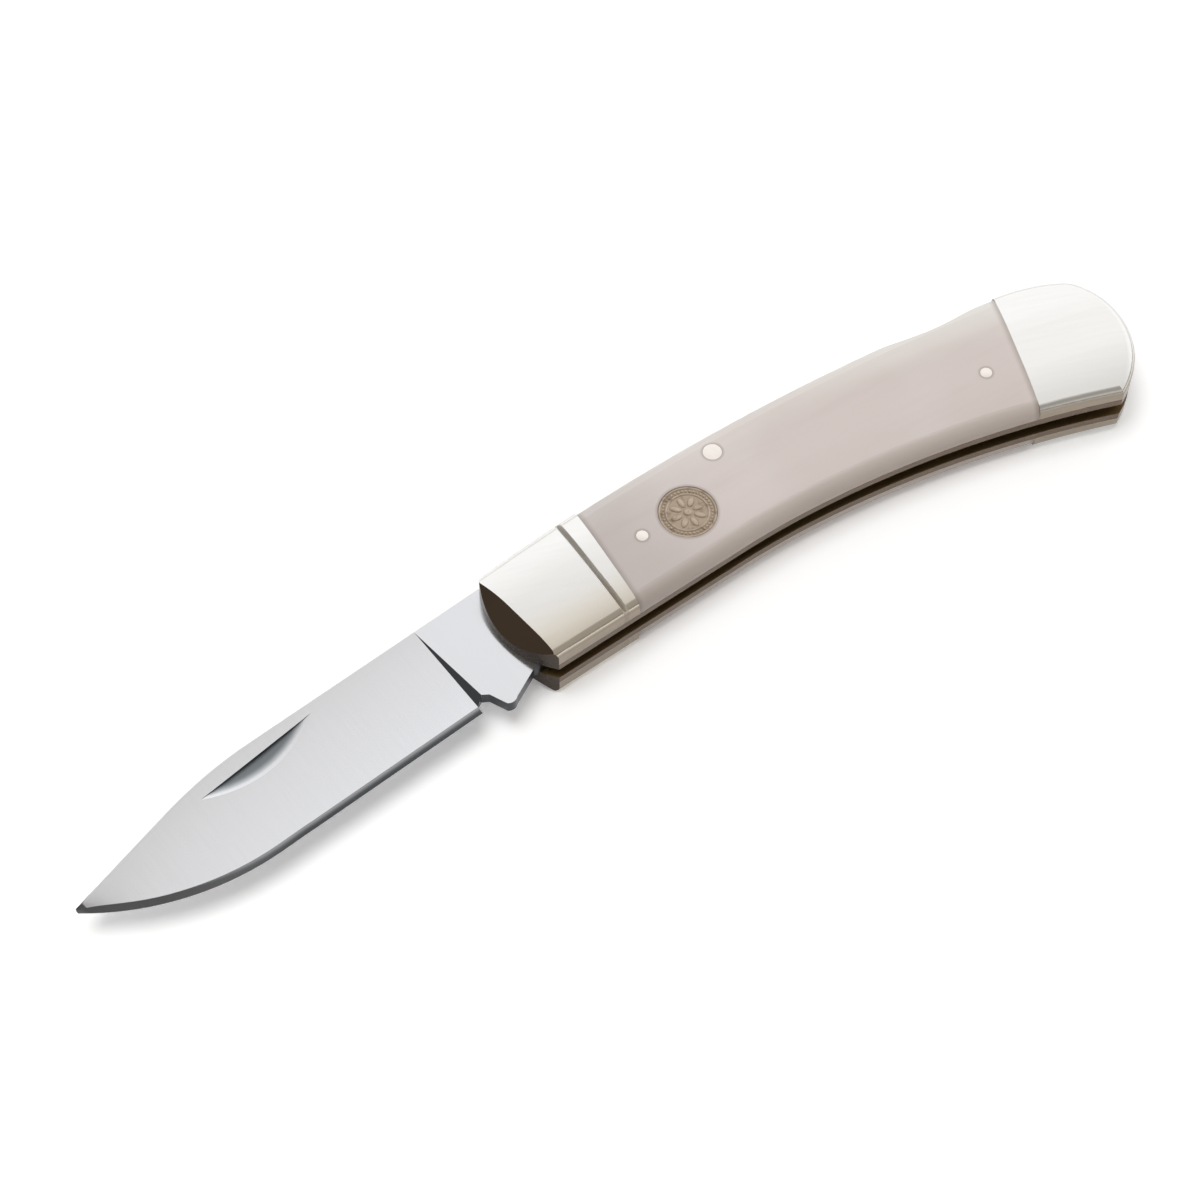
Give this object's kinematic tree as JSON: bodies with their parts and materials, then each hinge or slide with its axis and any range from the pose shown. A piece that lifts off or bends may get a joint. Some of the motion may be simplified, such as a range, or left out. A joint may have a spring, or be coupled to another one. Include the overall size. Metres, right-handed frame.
{
  "type": "lockback pocket knife",
  "caption": "Folding pocket knife with a drop-point blade, polished metal bolsters, smooth bone scales, a round inlay and a back lock that opens at a thumb scoop",
  "frame": {"origin": "centre of the open knife's box in plan, on the plane of the lower (pile) side's flat that it rests on", "axes": "+X runs along the handle from the blade's tip to the butt, +Y from the belly to the back of the handle, +Z from the pile side up to the inlaid mark side"},
  "size_m": [0.151, 0.0228, 0.0097],
  "materials": {
    "blade_steel": "satin ground stainless steel",
    "spring_steel": "satin spring steel",
    "liner_metal": "brushed warm-toned metal",
    "bolster_metal": "mirror-polished nickel silver",
    "pin_metal": "polished nickel silver",
    "bone": "smooth polished natural bone",
    "inlay_metal": "struck metal with darkened hollows"
  },
  "bodies": {
    "handle": {"lock_spring": "spring_steel", "butt_spacer": "spring_steel", "mark_liner": "liner_metal", "pile_liner": "liner_metal", "mark_front_bolster": "bolster_metal", "pile_front_bolster": "bolster_metal", "mark_rear_bolster": "bolster_metal", "pile_rear_bolster": "bolster_metal", "pivot_pin": "pin_metal", "lock_bar_pin": "pin_metal", "butt_pins": "pin_metal", "mark_scale_pins": "pin_metal", "pile_scale_pins": "pin_metal", "mark_bolster_rivets": "pin_metal", "pile_bolster_rivets": "pin_metal", "mark_scale": "bone", "pile_scale": "bone", "inlay_disc": "inlay_metal"},
    "blade": {"blade": "blade_steel"},
    "lock_bar": {"lock_bar": "spring_steel"}
  },
  "joints": [
    {"name": "blade_hinge", "type": "hinge", "parent": "handle", "child": "blade", "pos_m": [-0.00682, 0.00047, 0.0048], "axis": [0, 0, 1], "range_deg": [0, 169]},
    {"name": "lock_rocker", "type": "hinge", "parent": "handle", "child": "lock_bar", "pos_m": [0.01928, 0.00792, 0.0048], "axis": [0, 0, 1], "range_deg": [-0.5, 1.3], "stiffness_Nm_per_rad": 1, "springref_deg": 1.3, "deforming": ["lock_spring"]}
  ]
}
